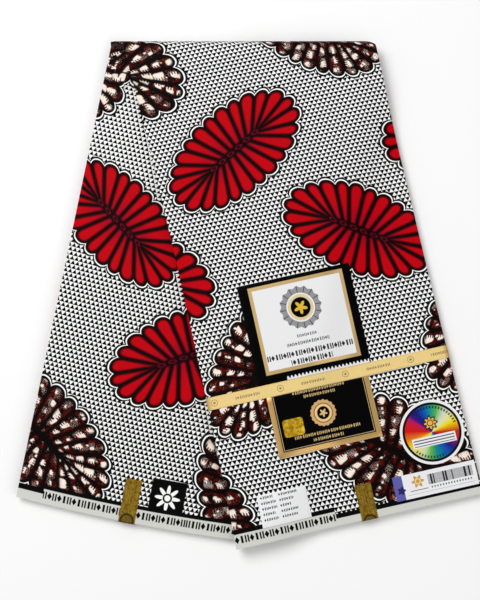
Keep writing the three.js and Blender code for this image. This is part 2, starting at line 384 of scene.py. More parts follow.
# %% [markdown]
# ## The hidden layers
# Between them lie the hidden layers of both legs. From outside only their edges show: 18 pleat folds along
# each side and 36 woven edges at each hem. They are one block with six levels to a pleat. At the sides each
# pleat is a rounded fold, and at the hems it parts into two thin edges. No two stop at quite the same place.

# %% The stack of pleats
PLEATS = 18
PLEAT_LEVELS = (0.0, 0.14, 0.36, 0.5, 0.64, 0.86)
SLACK = 0.05
INNER_REACH = 1.2
STACK = {
    "front": (0.0, LEG_HEIGHT - CLOTH - SLACK),
    "back": (LEG_HEIGHT - CLOTH - SLACK, CLOTH + SLACK),
    "reach": (INNER_REACH, FOLD_REACH - CLOTH - SLACK),
}
stack_columns = strip_columns(step=9.0)
stack_runs = strip_runs(front_steps=91, back_steps=79)
levels = np.array([pleat + part for pleat in range(PLEATS) for part in PLEAT_LEVELS] + [PLEATS])
stack, numbers = cut_block("pleat_stack", (len(stack_columns) - 1, len(stack_runs) - 1, len(levels) - 1))
across, run, level = stack_columns[numbers[:, 0]], stack_runs[numbers[:, 1]], levels[numbers[:, 2]]
pleat = np.minimum(np.floor(level), PLEATS - 1)
within = level - pleat
points = fold_place(STACK, across, run, level / PLEATS)
print("pleat_stack:", len(points), "points on", len(levels), "levels")

# %% Uneven folds along its sides and uneven edges at its hems
PLEAT_ROLL = 0.75
PLEAT_PLAY = 1.7
PLEAT_DRIFT = 70
OTHER_SIDE = 40
HEM_INSET = 0.5
HEM_GROOVE = 0.7
HEM_PLAY = 2.6
HEM_DRIFT = 45


def wander(number, along, length):
    """An uneven number from 0 to 1 for each pleat, drifting slowly along its edge"""
    drift = np.sin(along / length + number * 2.4) + np.sin(along / (length * 0.37) + number * 5.1) * 0.6
    return 0.5 + 0.3 * drift / 1.6 + 0.2 * np.sin(number * 12.99 + 1.0)


side = np.where(numbers[:, 0] == 0, 1, 0) - np.where(numbers[:, 0] == len(stack_columns) - 1, 1, 0)
roll = PLEAT_ROLL * (1 - np.sqrt(np.maximum(1 - (2 * within - 1) ** 2, 0)))
inwards = side * (roll + PLEAT_PLAY * wander(pleat + OTHER_SIDE * (side > 0), run, PLEAT_DRIFT))
at_hem = (numbers[:, 1] == 0) | (numbers[:, 1] == len(stack_runs) - 1)
leaf = np.floor(level * 2)
groove = HEM_GROOVE * np.abs(np.cos(within * 2 * np.pi)) ** 3
upwards = at_hem * (HEM_INSET + groove + HEM_PLAY * wander(leaf, across, HEM_DRIFT))
for name, chosen in (("front", run <= FOLD_MIDDLE), ("back", run > FOLD_MIDDLE)):
    corner, across_way, up_way = leg_frame(name)
    shift = inwards[:, None] * across_way + upwards[:, None] * up_way
    points[chosen, :2] += shift[chosen]
print("points moved in at the sides:", np.count_nonzero(side), "and at the hems:", np.count_nonzero(at_hem))

# %% Waves in the stack
x, y = points[:, 0], points[:, 1]
share = level / PLEATS
waved_back = (run > FOLD_END) * (1 - share) * open_back(x, y)
points[:, 2] += np.where(run < FRONT_ROWS, share * waved_front(run), waved_back) * ripple(x, y)
place_points(stack, points)
soft_shade(stack, 60)
point_uv(stack, "layers", np.column_stack((run, level)))
point_uv(stack, "hem", np.column_stack((at_hem, across)))

# %% [markdown]
# ## Shader maths as expressions
# The print is drawn with numbers: distances, angles and steps. Written as single nodes that would be hundreds
# of lines, so one small class wraps a socket and lets Python's own signs add the Math nodes.

# %% A socket with arithmetic


class Wire:
    """An output socket of a material. Arithmetic on it adds Math nodes, and node() adds any other node."""

    def __init__(self, tree, socket=None):
        self.tree = tree
        self.socket = socket

    def node(self, kind, settings=None, inputs=None, output=0):
        made = self.tree.nodes.new(kind)
        settings = dict(settings or {})
        stops = settings.pop("stops", None)
        for key, value in settings.items():
            setattr(made, key, value)
        if stops:
            self.set_stops(made.color_ramp, stops)
        for key, value in (inputs or {}).items():
            self.plug(made.inputs[key], value)
        return Wire(self.tree, made.outputs[output])

    def plug(self, socket, value):
        """Link a wire to a socket, or set the socket to a plain value"""
        if isinstance(value, Wire):
            self.tree.links.new(value.socket, socket)
        else:
            socket.default_value = value

    @staticmethod
    def set_stops(ramp, stops):
        while len(ramp.elements) < len(stops):
            ramp.elements.new(1.0)
        for element, (position, colour) in zip(ramp.elements, stops):
            element.position = position
            element.color = colour

    def math(self, operation, *others):
        values = dict(enumerate((self, *others)))
        return self.node("ShaderNodeMath", {"operation": operation}, values)

    def __rsub__(self, other):
        return self.node("ShaderNodeMath", {"operation": "SUBTRACT"}, {0: other, 1: self})

    def __neg__(self):
        return self * -1

    def clamp(self):
        """Kept between 0 and 1"""
        return self.most(0.0).least(1.0)

    def wave(self, gap):
        """A sine wave that comes round at every gap"""
        return (self * (2 * math.pi / gap)).sin()

    def repeat(self, gap, shift=0.0):
        """How far a place is from the middle of its stretch, where stretches follow each other at a gap"""
        return ((self / gap + shift).part() - 0.5) * gap

    def stripes(self, gap, half, soft, shift=0.0):
        """Stripes at a gap, as a mask. Half their width and their softness are shares of the gap."""
        return (abs((self / gap + shift).part() - 0.5) - half).inside(soft)

    def band(self, low, high):
        """1 between two values and 0 outside them"""
        return (self > low) * (self < high)

    def inside(self, soft=0.15):
        """1 where a distance is below nought, 0 where it is above, with a soft edge"""
        return self.node("ShaderNodeMapRange", {}, {0: self, 1: soft, 2: -soft, 3: 0.0, 4: 1.0})

    def paint(self, under, over):
        """Lay a colour over another one where this mask is 1"""
        made = self.tree.nodes.new("ShaderNodeMix")
        made.data_type = "RGBA"
        for number, value in ((0, self), (6, under), (7, over)):
            self.plug(made.inputs[number], value)
        return Wire(self.tree, made.outputs[2])


# %% Python's signs, and short names, for the Math nodes
MATH_NAMES = {
    "__add__": "ADD",
    "__radd__": "ADD",
    "__sub__": "SUBTRACT",
    "__mul__": "MULTIPLY",
    "__rmul__": "MULTIPLY",
    "__truediv__": "DIVIDE",
    "__pow__": "POWER",
    "__abs__": "ABSOLUTE",
    "__lt__": "LESS_THAN",
    "__gt__": "GREATER_THAN",
    "sin": "SINE",
    "cos": "COSINE",
    "root": "SQRT",
    "floor": "FLOOR",
    "part": "FRACT",
    "least": "MINIMUM",
    "most": "MAXIMUM",
}
for name, operation in MATH_NAMES.items():
    setattr(Wire, name, partialmethod(Wire.math, operation))
print("Math nodes behind signs and names:", len(MATH_NAMES))

# %% Colours, materials, UV maps, noise and bump


def rgb(red, green, blue):
    """A colour given as it looks on a screen, from 0 to 255, for a socket"""
    shares = [value / 255 for value in (red, green, blue)]
    linear = [share / 12.92 if share < 0.04 else ((share + 0.055) / 1.055) ** 2.4 for share in shares]
    return (*linear, 1.0)


def new_material(name, **constants):
    """A material, a wire to start from and its shader, with the sockets that stay the same all over"""
    material = bpy.data.materials.new(name)
    material.use_nodes = True
    shader = material.node_tree.nodes["Principled BSDF"]
    for key, value in constants.items():
        shader.inputs[key.replace("_", " ")].default_value = value
    return material, Wire(material.node_tree), shader


def put_on(material, *pieces):
    """Give pieces a material and say how large it is"""
    for piece in pieces:
        piece.data.materials.append(material)
    print(material.name, "has", len(material.node_tree.nodes), "nodes")


def uv_of(start, name):
    """The two numbers of a UV map"""
    uv = start.node("ShaderNodeUVMap", {"uv_map": name})
    x = start.node("ShaderNodeSeparateXYZ", {}, {0: uv})
    return x, Wire(x.tree, x.socket.node.outputs[1])


def noise(x, y, detail, scale=1.0):
    """Soft noise over two numbers"""
    plane = x.node("ShaderNodeCombineXYZ", {}, {0: x, 1: y})
    inputs = {"Vector": plane, "Scale": scale, "Detail": detail}
    return x.node("ShaderNodeTexNoise", {"noise_dimensions": "2D"}, inputs)


def feed(shader, **wires):
    """Link wires to the shader's sockets"""
    for name, wire in wires.items():
        wire.tree.links.new(wire.socket, shader.inputs[name.replace("_", " ")])


def bump(wire, distance, strength=1.0, under=None):
    """A Bump node on a height, over another bump if there is one"""
    inputs = {"Height": wire, "Distance": distance, "Strength": strength}
    if under is not None:
        inputs["Normal"] = under
    return wire.node("ShaderNodeBump", {}, inputs)


# %% [markdown]
# A print is a pile of shapes. Each shape is given as the distance outside its rim, which makes it a mask with
# an edge as soft as wanted.

# %% Shapes to draw with


def box_distance(x, y, centre, half):
    """Distance outside a rectangle"""
    return (abs(x - centre[0]) - half[0]).most(abs(y - centre[1]) - half[1])


def round_box(x, y, centre, half, radius):
    """Distance outside a rectangle with round corners"""
    across = (abs(x - centre[0]) - (half[0] - radius)).most(0.0)
    up = (abs(y - centre[1]) - (half[1] - radius)).most(0.0)
    return (across * across + up * up).root() - radius


def polar(x, y, centre):
    """Distance and turn about a centre"""
    dx, dy = x - centre[0], y - centre[1]
    return (dx * dx + dy * dy).root(), dy.math("ARCTAN2", dx)


def rosette(far, turn, radius, wave, petals, start=0.0):
    """Distance outside a disc with a wavy rim"""
    return far - radius - wave * (turn * petals + start).cos()


def lay(colour, *layers):
    """Lay shapes over a colour in turn, each with the softness of its edge and a colour of its own"""
    for shape, soft, over in layers:
        colour = shape.inside(soft).paint(colour, over)
    return colour


# %% [markdown]
# ## Where the flowers lie
# The print repeats two flowers, a red one and a brown one. Each is a long flower of 24 petals about a short
# spine. To keep the shader short, every face of the cloth is handed to its nearest flower, and a UV map
# carries the place on that flower. The shader then works out one flower only, however many there are. The
# places follow the photo, and those on the underside keep the same spacing.

# %% Flowers on each leg: across, up, turn in degrees, size, and 0 for red or 1 for brown
SPINE = 39.0
STRETCH = 1.68
TIP = 94.0
FLOWER_HALF = 52.0
PETAL_LENGTH = 54.0
SEED_STEP = 0.37
FLOWERS = {
    "front": (
        (101, 465.3, 29.8, 1.02, 0), (226.3, 339.9, -32, 1.02, 0), (-50.2, 345.5, -32.2, 1.1, 0),
        (376, 429, -5.3, 1.05, 0), (-42.5, 602.9, -30, 1.2, 1), (226.9, 595.8, -40, 1.0, 1),
        (78.7, 208, 48, 1.06, 1), (-66, 72, -43, 1.24, 1), (211.4, 69.9, -37.4, 1.17, 1),
        (346.1, 210.4, 49.4, 1.09, 1), (90, 735, -33, 1.0, 0), (236, 822, 30, 1.0, 0),
        (60, 930, -36, 1.0, 1), (240, 1010, 36, 1.0, 1), (90, 1130, 30, 1.0, 0),
    ),
    "back": (
        (57, 346, -36.5, 1.01, 0), (171, 205, 29, 1.07, 0), (-54, 547, -42, 1.1, 1),
        (70, 590, 36, 1.1, 1), (13, 79, -34, 1.12, 1), (285.7, 36.4, -55.3, 1.19, 1),
        (215, 470, -33, 1.0, 0), (330, 330, 30, 1.1, 1),
    ),
}


def petal_reach(x, y):
    """How far out a place is on a flower, measured so that all petal tips lie at the same reach"""
    y = y * STRETCH
    return (np.hypot(x - SPINE, y) + np.hypot(x + SPINE, y)) / 2


def hand_out_flowers(piece, uv, leg):
    """UV maps for the cloth, for each face's nearest flower and for that flower's kind"""
    mesh = piece.data
    starts = np.empty(len(mesh.polygons), int)
    sizes = np.empty(len(mesh.polygons), int)
    mesh.polygons.foreach_get("loop_start", starts)
    mesh.polygons.foreach_get("loop_total", sizes)
    face = np.repeat(np.arange(len(sizes)), sizes)
    at = uv[corner_points(mesh)]
    middle = np.add.reduceat(at, starts) / sizes[:, None]
    flowers = np.array(FLOWERS[leg], float)
    turn = np.radians(flowers[:, 2])

    def local(places, chosen):
        away = places - flowers[chosen, :2]
        c, s = np.cos(turn[chosen]), np.sin(turn[chosen])
        turned = np.column_stack((away[:, 0] * c + away[:, 1] * s, away[:, 1] * c - away[:, 0] * s))
        return turned / flowers[chosen, 3:4]

    reaches = [petal_reach(*local(middle, np.full(len(middle), n)).T) for n in range(len(flowers))]
    nearest = np.argmin(reaches, axis=0)[face]
    corner_uv(mesh, "cloth", at)
    corner_uv(mesh, "flower", local(at, nearest))
    corner_uv(mesh, "kind", np.column_stack((flowers[nearest, 4], nearest * SEED_STEP)))
    print(piece.name, "faces on each flower:", np.bincount(nearest, minlength=len(flowers)) // 4)


hand_out_flowers(outer, outer_uv, "front")
hand_out_flowers(back, back_uv, "back")

# %% [markdown]
# ## The print
# A flower is drawn from two numbers: how far out a place is, and which petal it is on. The first starts from
# the sum of its distances to the two ends of the spine, which is how an ellipse is drawn with two pins and a
# string, and a few rounds bring it to the flower's own outline. The second is its turn about the middle.
# Steps on these give the petals, their veins, and the black and white outlines.

# %% Colours of the print
WHITE = rgb(252, 252, 251)
BLACK = rgb(5, 4, 4)
RED = rgb(194, 0, 15)
CRIMSON = rgb(140, 4, 36)
DARK_RED = rgb(22, 0, 2)
MAROON = rgb(80, 9, 3)
CREAM = rgb(255, 240, 226)
GREY_LINE = rgb(160, 160, 160)
SELVEDGE = rgb(212, 213, 206)
PETALS = 24
EVEN_OUT = -0.146
WIDE_NARROW = 0.03
NOTCH = 6.0
OUTLINE = 2.4
WHITE_LINE = 1.6
OUTER_LINE = 2.4
RIM = 2.79
PETAL_WIDTH = 0.249
LEAST_SHARE = 0.02
ROUNDS = 3


def flower_numbers(x, y):
    """Where a place lies on its flower: how far out, past its petal's tip and beside its middle line"""
    tall = y * STRETCH
    right = ((x - SPINE) * (x - SPINE) + tall * tall).root()
    left = ((x + SPINE) * (x + SPINE) + tall * tall).root()
    out = (right + left) * 0.5
    share = (out * out - SPINE * SPINE).most(0.0).root() / (STRETCH * FLOWER_HALF)
    for _ in range(ROUNDS):
        share = share.most(LEAST_SHARE)
        level = x / (SPINE + (TIP - SPINE) * share)
        rise = y / (FLOWER_HALF * share)
        share = share * (level * level + rise * rise).root()
    level = x / (SPINE + (TIP - SPINE) * share)
    rise = y / (FLOWER_HALF * share.most(LEAST_SHARE))
    turn = rise.math("ARCTAN2", level)
    phase = (turn + (turn * 2).sin() * EVEN_OUT) * (PETALS / (2 * math.pi))
    split = phase + (phase * math.pi).sin() * WIDE_NARROW
    number = split.math("ROUND")
    beside = split - number
    narrow = (number * math.pi).cos()
    steep = rise * rise / (level * level + rise * rise)
    width = PETAL_WIDTH * ((TIP - SPINE) * share + SPINE * steep) / (1 + 2 * EVEN_OUT * (1 - 2 * steep))
    width = width / (1 + WIDE_NARROW * math.pi * narrow)
    past = (share - 1) * PETAL_LENGTH + NOTCH * ((abs(beside) * 2) ** 2.4) + narrow * 0.3
    return {"share": share, "past": past, "beside": beside, "number": number, "width": width}


def petal_depth(flower):
    """How far inside its petal's colour a place is, in millimetres"""
    vein = 0.8 + flower["share"] * 0.4
    side = (0.5 - abs(flower["beside"])) * flower["width"] - vein
    tip = -(flower["past"] + OUTLINE)
    root = flower["share"] * PETAL_LENGTH - 3.4
    return side.math("SMOOTH_MIN", tip, 9.0).math("SMOOTH_MIN", root, 3.0)


# %% The red flower's petals and the beads along its spine
ROOT_START, ROOT_FADE = 6.0, 24.0
HATCH_GAP = 1.9
BEAD_GAP = 13.0
BEAD_HALF = (4.6, 2.3)
BEAD_RED = rgb(112, 6, 34)


def red_flower(x, y, flower, depth):
    """Colour inside a red flower"""
    roots = (1 - (flower["share"] * PETAL_LENGTH - ROOT_START) / ROOT_FADE).clamp()
    streak = noise(flower["beside"] * 7 + flower["number"] * 3.7, flower["share"] * 2.5, 2.0)
    hatch = (x + y * 0.3).wave(HATCH_GAP) * roots * (streak > 0.52)
    shade = (roots * 0.62 + (streak - 0.5) * 0.8 + hatch * 0.14).clamp()
    body = shade.paint(RED, CRIMSON)
    fade = (depth / RIM).clamp() ** 1.8
    colour = fade.paint(DARK_RED, body)
    bead = (((x.repeat(BEAD_GAP) + y * 0.5) / BEAD_HALF[0]) ** 2.0 + (y / BEAD_HALF[1]) ** 2.0).root()
    beads = (abs(bead - 0.8) - 0.2).inside(0.12) * (abs(x) < SPINE)
    return (beads * 0.8).paint(colour, BEAD_RED)


# %% [markdown]
# The brown flower's petals are filled with pale pebbles on dark brown. Each petal is cut into cells along its
# length, and each cell holds one pebble of its own size and place, some with a comb of fine teeth at one
# side. A finer set of cells fills in between, and a Voronoi texture adds small faint dots.

# %% The brown flower's pebbles and combs
COMB_PITCH = 2.6
PEBBLES = {"gap": 13.0, "small": 0.8, "large": 4.4, "teeth": 2.4}
LESSER_PEBBLES = {"gap": 7.5, "small": -1.4, "large": 1.7, "teeth": 0.0}
DOTS_PER_MM = 0.19
DOT_PALE = rgb(214, 170, 150)
BROWN = rgb(14, 3, 2)
DARK_BROWN = rgb(9, 2, 2)


def pebbles(flower, seed, gap, small, large, teeth):
    """Distance outside the pebble of each cell of a petal, with a comb of teeth at one side of some"""
    along = flower["share"] * (PETAL_LENGTH / gap) + (flower["number"] * 0.618 + seed).part()
    cell = seed.node("ShaderNodeCombineXYZ", {}, {0: flower["number"] + seed * 17, 1: along.floor() + small})
    pick = seed.node("ShaderNodeTexWhiteNoise", {"noise_dimensions": "2D"}, {"Vector": cell}, "Color")
    red = pick.node("ShaderNodeSeparateColor", {}, {0: pick})
    green, blue = (Wire(red.tree, red.socket.node.outputs[n]) for n in (1, 2))
    up = (along.part() - 0.5) * gap - (green - 0.5) * (gap * 0.4)
    aside = flower["beside"] * flower["width"] - (blue - 0.5) * (flower["width"] * 0.34)
    side = (green > 0.5) * 2 - 1
    comb = (up.wave(COMB_PITCH) > -0.1) * (aside * side > 0.3) * (blue > 0.25)
    radius = small + red * (large - small)
    slanted = (up + aside * (green - 0.5)) * 0.8
    tapered = aside * (1.1 - up * 0.06)
    far = (tapered ** 4.0 + slanted ** 4.0) ** 0.25
    return far + comb * teeth - radius


def brown_flower(x, y, flower, depth, seed):
    """Colour inside a brown flower"""
    large = pebbles(flower, seed, **PEBBLES)
    lesser = pebbles(flower, seed + 0.5, **LESSER_PEBBLES)
    near_spine = (1 - flower["share"] * 2.4).most(0.0) * 3.0
    dots_x = x * DOTS_PER_MM + seed * 31
    dots_y = y * DOTS_PER_MM
    plane = x.node("ShaderNodeCombineXYZ", {}, {0: dots_x, 1: dots_y})
    inputs = {"Vector": plane, "Scale": 1.0, "Randomness": 1.0}
    dots_far = x.node("ShaderNodeTexVoronoi", {"voronoi_dimensions": "2D"}, inputs, "Distance")
    patches = ((noise(dots_x, dots_y, 2.0, 0.8) - 0.42) * 5).clamp()
    ground = patches.paint(BROWN, MAROON)
    colour = ((dots_far - 0.06).inside(0.03) * 0.3).paint(ground, DOT_PALE)
    colour = (large.least(lesser) + near_spine).inside(0.35).paint(colour, CREAM)
    fade = ((depth + 0.4) / 2.0).clamp() ** 1.6
    return fade.paint(DARK_BROWN, colour)


# %% [markdown]
# Between the flowers the ground is a staggered lattice of small black triangles on white, with a faint grey
# triangle in each gap. Along each hem runs the selvedge: bare cloth, a row of plain lozenges and bars, and a
# black line.

# %% The ground of small triangles
TRIANGLE_GAP = 5.7
GROUND = {
    "front": {
        "row": 5.34, "slant": (0.0, 0.0), "even": (0.974, 0.000165), "size": (1.83, -0.0001), "down": 1,
    },
    "back": {
        "row": 5.2, "slant": (-0.14, 0.057), "even": (1.0, 0.0), "size": (1.84, -0.00045), "down": -1,
    },
}


def triangle(x, y):
    """Distance inside a triangle that points down, from its middle"""
    return y.most(abs(x) * 0.866 - y * 0.5)


def ground_of(u, v, leg):
    """Black triangles on white, a little out of true as printed. Down is 1 where they point to the hem."""
    made = GROUND[leg]
    size = v * made["size"][1] + made["size"][0]
    across = u + v * made["slant"][0]
    up = v + u * made["slant"][1]
    up = up * made["even"][0] + up * up * made["even"][1]
    y = up.repeat(made["row"]) * made["down"]
    lift = size * 0.5
    shift = ((up / made["row"]).floor() * 0.5).part()
    black = (triangle(across.repeat(TRIANGLE_GAP, shift), y - lift) - size).inside(0.15)
    gap_x = across.repeat(TRIANGLE_GAP, shift + 0.5)
    ring = abs(triangle(gap_x, -y - lift) - 0.7) - 0.1
    colour = (ring.inside(0.1) * 0.6).paint(WHITE, GREY_LINE)
    return black.paint(colour, BLACK)


# %% A row of plain marks
PICK_STEP = 0.382


def mark_row(x, y, middle, half, tall, gap):
    """A row of plain lozenges, bars and pairs of bars, as a mask"""
    aside = (x - middle[0]).repeat(gap)
    pick = (((x - middle[0]) / gap).floor() * PICK_STEP).part()
    past_end = abs(y - middle[1]) - tall / 2
    lozenge = abs(aside) * (tall / (0.94 * gap)) + past_end
    bar = (abs(aside) - gap * 0.23).most(past_end)
    pair = (abs(abs(aside) - gap * 0.27) - gap * 0.16).most(past_end)
    soft = gap * 0.03
    marks = lozenge.inside(soft) * (pick < 0.34) + bar.inside(soft) * pick.band(0.34, 0.6)
    marks = marks + pair.inside(soft) * (pick > 0.6)
    return marks.least(1.0) * (abs(x - middle[0]) < half)


# %% The selvedge and its border
HEM_BANDS = {
    "front": {"step": 123.5, "first": (17.0, 22.5), "then": (8.5, 14.0)},
    "back": {"step": 31.0, "first": (11.0, 17.5), "then": (17.0, 21.5)},
}
MARKS_UP = 10.2
MARK_TALL = 8.4
MARK_GAP = 6.0
SQUARE_MIDDLE = (177.2, 35.7)
SQUARE_HALF = 20.8


def hem_of(u, v, colour, name):
    """Lay the selvedge over the ground near a hem"""
    bands = HEM_BANDS[name]
    first = u < bands["step"]
    low = first * (bands["first"][0] - bands["then"][0]) + bands["then"][0]
    high = first * (bands["first"][1] - bands["then"][1]) + bands["then"][1]
    beside_marks = (low > 16.0) if name == "back" else first
    marks = mark_row(u, v, (0.0, MARKS_UP), STRIP, MARK_TALL, MARK_GAP) * beside_marks
    selvedge = marks.paint(SELVEDGE, BLACK)
    return lay(colour, (v - high, 0.25, BLACK), (v - low, 0.25, selvedge))


def square_of(u, v, colour):
    """A black square above the back hem with a plain eight-petalled rosette in it"""
    far, turn = polar(u, v, SQUARE_MIDDLE)
    ring = abs(far - 4.6) - 1.1
    white = rosette(far, turn, 10.6, 4.6, 8).inside(0.3) * (1 - ring.inside(0.3))
    colour = box_distance(u, v, SQUARE_MIDDLE, (SQUARE_HALF, SQUARE_HALF)).inside(0.3).paint(colour, BLACK)
    return white.paint(colour, WHITE)


# %% [markdown]
# All of it comes together in one function that makes the printed cotton for a leg. The weave is a fine bump,
# and the cloth keeps the slight sheen of its last pressing.

# %% Printed cotton
THREAD = 0.42


def printed_cotton(name, leg):
    """The printed cloth of one leg"""
    material, start, shader = new_material(name, Specular_IOR_Level=0.04)
    u, v = uv_of(start, "cloth")
    x, y = uv_of(start, "flower")
    kind, seed = uv_of(start, "kind")
    flower = flower_numbers(x, y)
    depth = petal_depth(flower)
    inside = kind.paint(red_flower(x, y, flower, depth), brown_flower(x, y, flower, depth, seed))
    past = flower["past"]
    colour = lay(
        ground_of(u, v, leg),
        (past - (WHITE_LINE + OUTER_LINE), 0.35, BLACK),
        (past - WHITE_LINE, 0.2, WHITE),
        (past, 0.2, BLACK),
        (past + 1.0, 0.3, inside),
    )
    if leg == "back":
        colour = square_of(u, v, colour)
    colour = hem_of(u, v, colour, leg)
    feed(shader, Base_Color=colour)
    soft = noise(u * 0.02, v * 0.035, 3.0)
    pressed = bump(soft, 0.0008, 0.35)
    feed(shader, Normal=bump(u.wave(THREAD) * v.wave(THREAD), 0.00003, 0.5, pressed))
    feed(shader, Roughness=0.46 + soft * 0.14)
    return material


put_on(printed_cotton("printed_cotton_front", "front"), outer)
put_on(printed_cotton("printed_cotton_back", "back"), back)

# %% [markdown]
# The edges of the hidden layers show the same print cut into thin lines: stretches of white ground, dots, red
# and brown, different for each pleat. At the hems they show bare woven edges.

# %% Edges of the hidden layers
hems, start, shader = new_material("pleat_edges", Specular_IOR_Level=0.04)
along, level = uv_of(start, "layers")
hem, hem_across = uv_of(start, "hem")
leaf = level.floor()
patch = noise(along * 0.021 + leaf * 0.61, leaf * 1.37, 1.0)
dots = along.stripes(2.85, 0.26, 0.06, leaf * 0.5)
petals = along.stripes(9.5, 0.14, 0.03, leaf * 0.3)
pebble_lines = along.stripes(6.5, 0.13, 0.03, leaf * 0.7)
edge = (patch > 0.55).paint(dots.paint(WHITE, BLACK), petals.paint(RED, BLACK))
edge = (patch < 0.42).paint(edge, pebble_lines.paint(rgb(40, 12, 9), CREAM))
near_fold = (1 - (abs(along - FOLD_MIDDLE) - 30) / 40).clamp()
edge = (near_fold * 0.9).paint(edge, rgb(30, 9, 7))
thread = noise(hem_across * 1.2, level * 2.1, 2.0)
bare_hem = thread.paint(rgb(205, 205, 194), rgb(240, 240, 233))
feed(shader, Base_Color=hem.paint(edge, bare_hem))
feed(shader, Roughness=0.72 + thread * 0.15)
feed(shader, Normal=bump(thread, 0.0001, 0.4))
put_on(hems, stack)

# %% [markdown]
# ## Cards and ribbon on the front leg
# Two printed cards lie on the front leg, and a satin ribbon goes round the leg over the ends of both. Each is
# a thin block on the same formula as the cloth, a hair above it, with its corners a little up.

# %% Thin pieces that follow the front leg
CARD = 0.5
CARD_CELL = 6
CARD_GAP = 0.12
INSET = 0.25
CARD_EDGE = 0.12


def laid_card(name, left, right, low, high, thickness, curl):
    """A card laid on the front leg, with a UV map of its place across and up the leg"""
    counts = (max(2, round((right - left) / CARD_CELL)), max(2, round((high - low) / CARD_CELL)), 1)
    card, numbers = cut_block(name, counts)
    i, j, k = (numbers / np.array(counts)).T
    across = left + INSET + (right - left - 2 * INSET) * i
    row = low + INSET + (high - low - 2 * INSET) * j
    lift = curl * (np.abs(2 * i - 1) * np.abs(2 * j - 1)) ** 3
    place_points(card, on_front(across, row, CARD_GAP + thickness * k + lift))
    point_uv(card, "leg", np.column_stack((across, row)))
    edge = card.modifiers.new("edge", "BEVEL")
    edge.width = CARD_EDGE * MM
    edge.segments = 2
    bpy.context.view_layer.objects.active = card
    bpy.ops.object.modifier_apply(modifier="edge")
    soft_shade(card)
    return card


upper_card = laid_card("upper_card_print", 65, 206, 181, 303, thickness=CARD, curl=0.35)
lower_card = laid_card("lower_card_print", 71, 199, 92, 166, thickness=CARD, curl=0.3)
info_sticker = laid_card("info_sticker_print", 35, 95, 17, 56, thickness=0.25, curl=0.1)

# %% The ribbon, over the leg and down both its sides
RIBBON_LOW, RIBBON_HIGH = 166.0, 181.0
RIBBON_THICK = 0.28
RIBBON_LIFT = 0.75
RIBBON_CLEAR = 0.3
RIBBON_STEPS = 76
RIBBON_DROP = np.array((1.0, 0.5, 0.08))
over = np.concatenate((np.full(3, -1.0), np.linspace(0, STRIP, RIBBON_STEPS), np.full(3, STRIP + 1)))
drop = np.concatenate((RIBBON_DROP, np.zeros(RIBBON_STEPS), RIBBON_DROP[::-1]))
counts = (len(over) - 1, 6, 1)
ribbon, numbers = cut_block("satin_ribbon", counts)
across, fall = over[numbers[:, 0]], drop[numbers[:, 0]]
row = RIBBON_LOW + (RIBBON_HIGH - RIBBON_LOW) * numbers[:, 1] / counts[1]
lift = RIBBON_LIFT + RIBBON_THICK * numbers[:, 2]
points = on_front(np.clip(across, 0, STRIP), row, lift)
outside = np.sign(across - STRIP / 2) * ((across < 0) | (across > STRIP))
corner, across_way, up_way = leg_frame("front")
points[:, :2] += (outside * (RIBBON_CLEAR + RIBBON_THICK * numbers[:, 2]))[:, None] * across_way
floor = front_floor(points[:, 0], points[:, 1]) + RIBBON_CLEAR
points[:, 2] = points[:, 2] * (1 - fall) + floor * fall
place_points(ribbon, points)
point_uv(ribbon, "leg", np.column_stack((across + outside * fall * 12, row)))
soft_shade(ribbon, 60)

# %% [markdown]
# ## Stickers and seals
# The round sticker and the bar sticker lie where the front leg is flat on the table. The foil seals have
# pinked side edges and turn down over the hems.

# %% Flat stickers
PAPER = 0.22


def lay_flat(sticker, across, up, share):
    """Put a sticker's points on the flat part of the front leg, each at a share of the paper's thickness"""
    place = square_place("front", across, up)
    height = LEG_HEIGHT + ripple(*place.T) + CARD_GAP + PAPER * share
    place_points(sticker, np.column_stack((place, height)))
    point_uv(sticker, "leg", np.column_stack((across, up)))
    soft_shade(sticker, 30)


def laid_flat(name, left, right, low, high):
    """A rectangular sticker laid on the flat part of the front leg"""
    counts = (16, 6, 1)
    sticker, numbers = cut_block(name, counts)
    i, j, k = (numbers / np.array(counts)).T
    lay_flat(sticker, left + (right - left) * i, low + (high - low) * j, k)
    return sticker


bar_sticker = laid_flat("bar_sticker_print", 198.3, 298.5, 12.0, 41.0)

# %% The round sticker, from a cylinder with inset rings
ROUND = {"across": 257.6, "up": 83.7, "radius": 38.5}
INSETS = 5
INSET_WIDTH = ROUND["radius"] / 6.5
bpy.ops.object.select_all(action="DESELECT")
bpy.ops.mesh.primitive_cylinder_add(vertices=96, radius=ROUND["radius"], depth=1.0, calc_uvs=False)
round_sticker = bpy.context.object
round_sticker.name = round_sticker.data.name = "round_sticker_print"
bpy.ops.object.mode_set(mode="EDIT")
bpy.ops.mesh.select_mode(type="FACE")
mesh = bmesh.from_edit_mesh(round_sticker.data)
for face in mesh.faces:
    face.select_set(abs(face.normal.z) > 0.9)
bmesh.update_edit_mesh(round_sticker.data)
for ring in range(INSETS):
    bpy.ops.mesh.inset(thickness=INSET_WIDTH)
bpy.ops.object.mode_set(mode="OBJECT")
x, y, z = read_points(round_sticker).T
lay_flat(round_sticker, x + ROUND["across"], y + ROUND["up"], z + 0.5)

# %% Foil seals with pinked edges, folded over the hems
FOIL = 0.2
PINK = 1.15
SIDE_TOOTH = 0.45
TOP_TOOTH = 0.9


